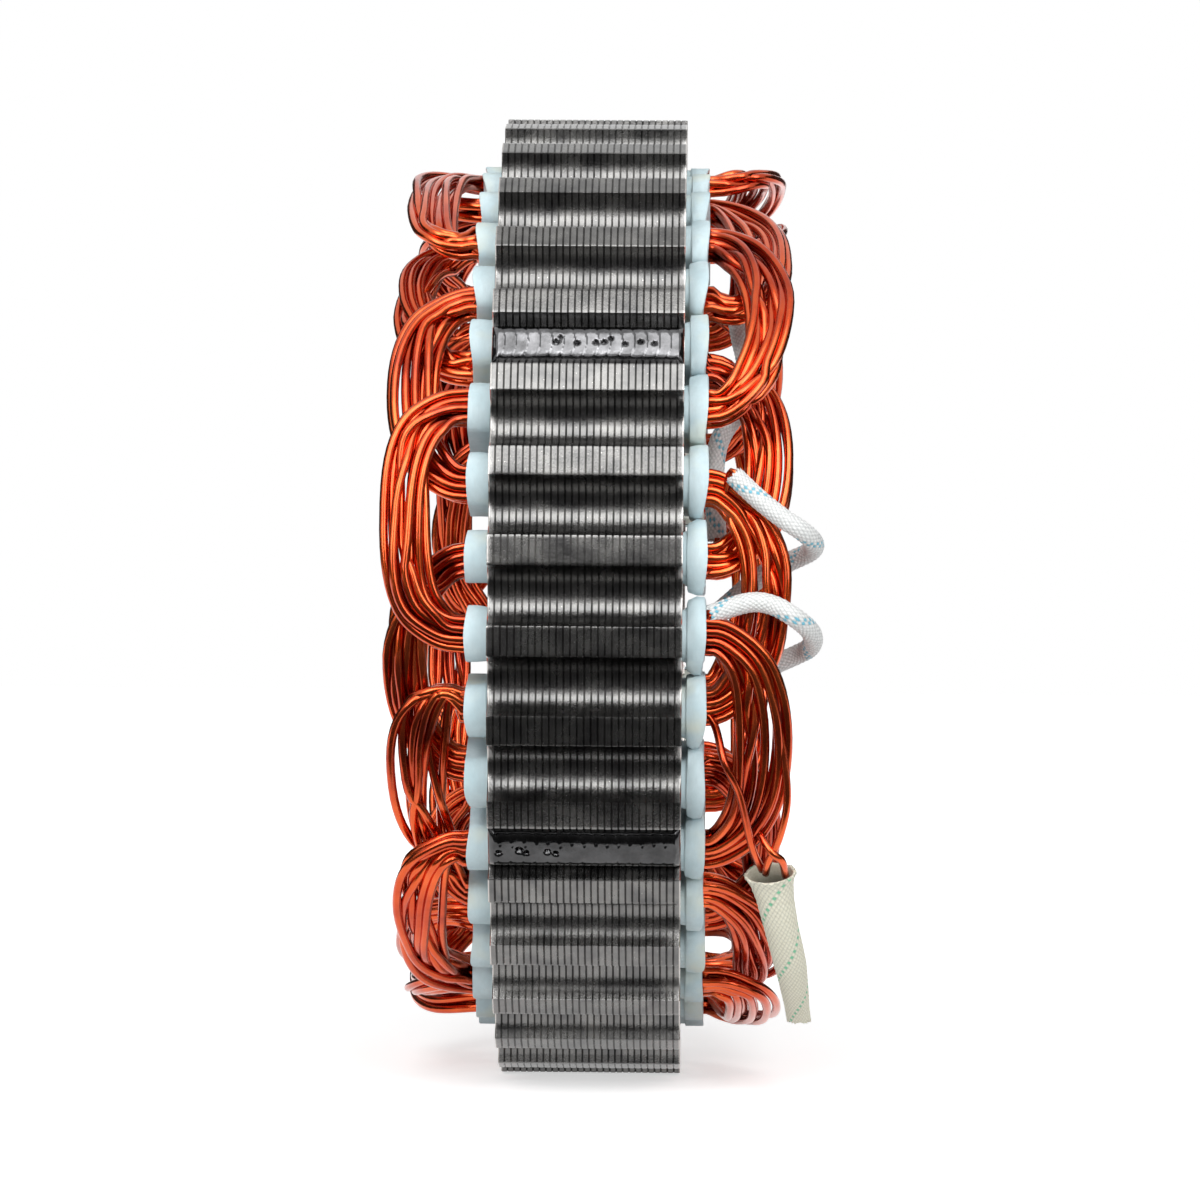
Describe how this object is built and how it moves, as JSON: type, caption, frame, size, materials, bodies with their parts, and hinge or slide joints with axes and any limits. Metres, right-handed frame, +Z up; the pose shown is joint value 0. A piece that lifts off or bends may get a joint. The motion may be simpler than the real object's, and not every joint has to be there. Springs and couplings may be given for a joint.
{
  "type": "wound stator",
  "caption": "Wound three-phase stator with a scalloped laminated core, wave winding of enamelled copper wire, lined slots and sleeved leads.",
  "frame": {"origin": "centre of the bore, halfway along the core stack", "axes": "X along the bore axis with +X towards the lead side, +Z up with the core standing on its rim"},
  "size_m": [0.0649, 0.1498, 0.1498],
  "materials": {
    "core_steel": "gloss",
    "liner_paper": "matte",
    "wedge_strip": "matte",
    "winding_wire": "gloss",
    "weld_metal": "gloss",
    "white_sleeving": "satin",
    "cream_sleeving": "satin"
  },
  "bodies": {
    "root": {"stator_core": "core_steel", "slot_wedges": "wedge_strip", "slot_liner_01": "liner_paper", "slot_liner_02": "liner_paper", "slot_liner_03": "liner_paper", "slot_liner_04": "liner_paper", "slot_liner_05": "liner_paper", "slot_liner_06": "liner_paper", "slot_liner_07": "liner_paper", "slot_liner_08": "liner_paper", "slot_liner_09": "liner_paper", "slot_liner_10": "liner_paper", "slot_liner_11": "liner_paper", "slot_liner_12": "liner_paper", "slot_liner_13": "liner_paper", "slot_liner_14": "liner_paper", "slot_liner_15": "liner_paper", "slot_liner_16": "liner_paper", "slot_liner_17": "liner_paper", "slot_liner_18": "liner_paper", "slot_liner_19": "liner_paper", "slot_liner_20": "liner_paper", "slot_liner_21": "liner_paper", "slot_liner_22": "liner_paper", "slot_liner_23": "liner_paper", "slot_liner_24": "liner_paper", "slot_liner_25": "liner_paper", "slot_liner_26": "liner_paper", "slot_liner_27": "liner_paper", "slot_liner_28": "liner_paper", "slot_liner_29": "liner_paper", "slot_liner_30": "liner_paper", "slot_liner_31": "liner_paper", "slot_liner_32": "liner_paper", "slot_liner_33": "liner_paper", "slot_liner_34": "liner_paper", "slot_liner_35": "liner_paper", "slot_liner_36": "liner_paper", "weld_bead_1": "weld_metal", "weld_bead_2": "weld_metal", "weld_bead_3": "weld_metal", "weld_bead_4": "weld_metal", "weld_bead_5": "weld_metal", "weld_bead_6": "weld_metal", "winding_phase_a": "winding_wire", "winding_phase_b": "winding_wire", "winding_phase_c": "winding_wire", "lead_sleeve_a": "white_sleeving", "lead_sleeve_b": "white_sleeving", "lead_sleeve_c": "white_sleeving", "star_sleeve": "cream_sleeving", "lead_wires_a": "winding_wire", "lead_wires_b": "winding_wire", "lead_wires_c": "winding_wire", "star_wire_1": "winding_wire", "star_wire_2": "winding_wire", "star_wire_3": "winding_wire"}
  },
  "joints": []
}
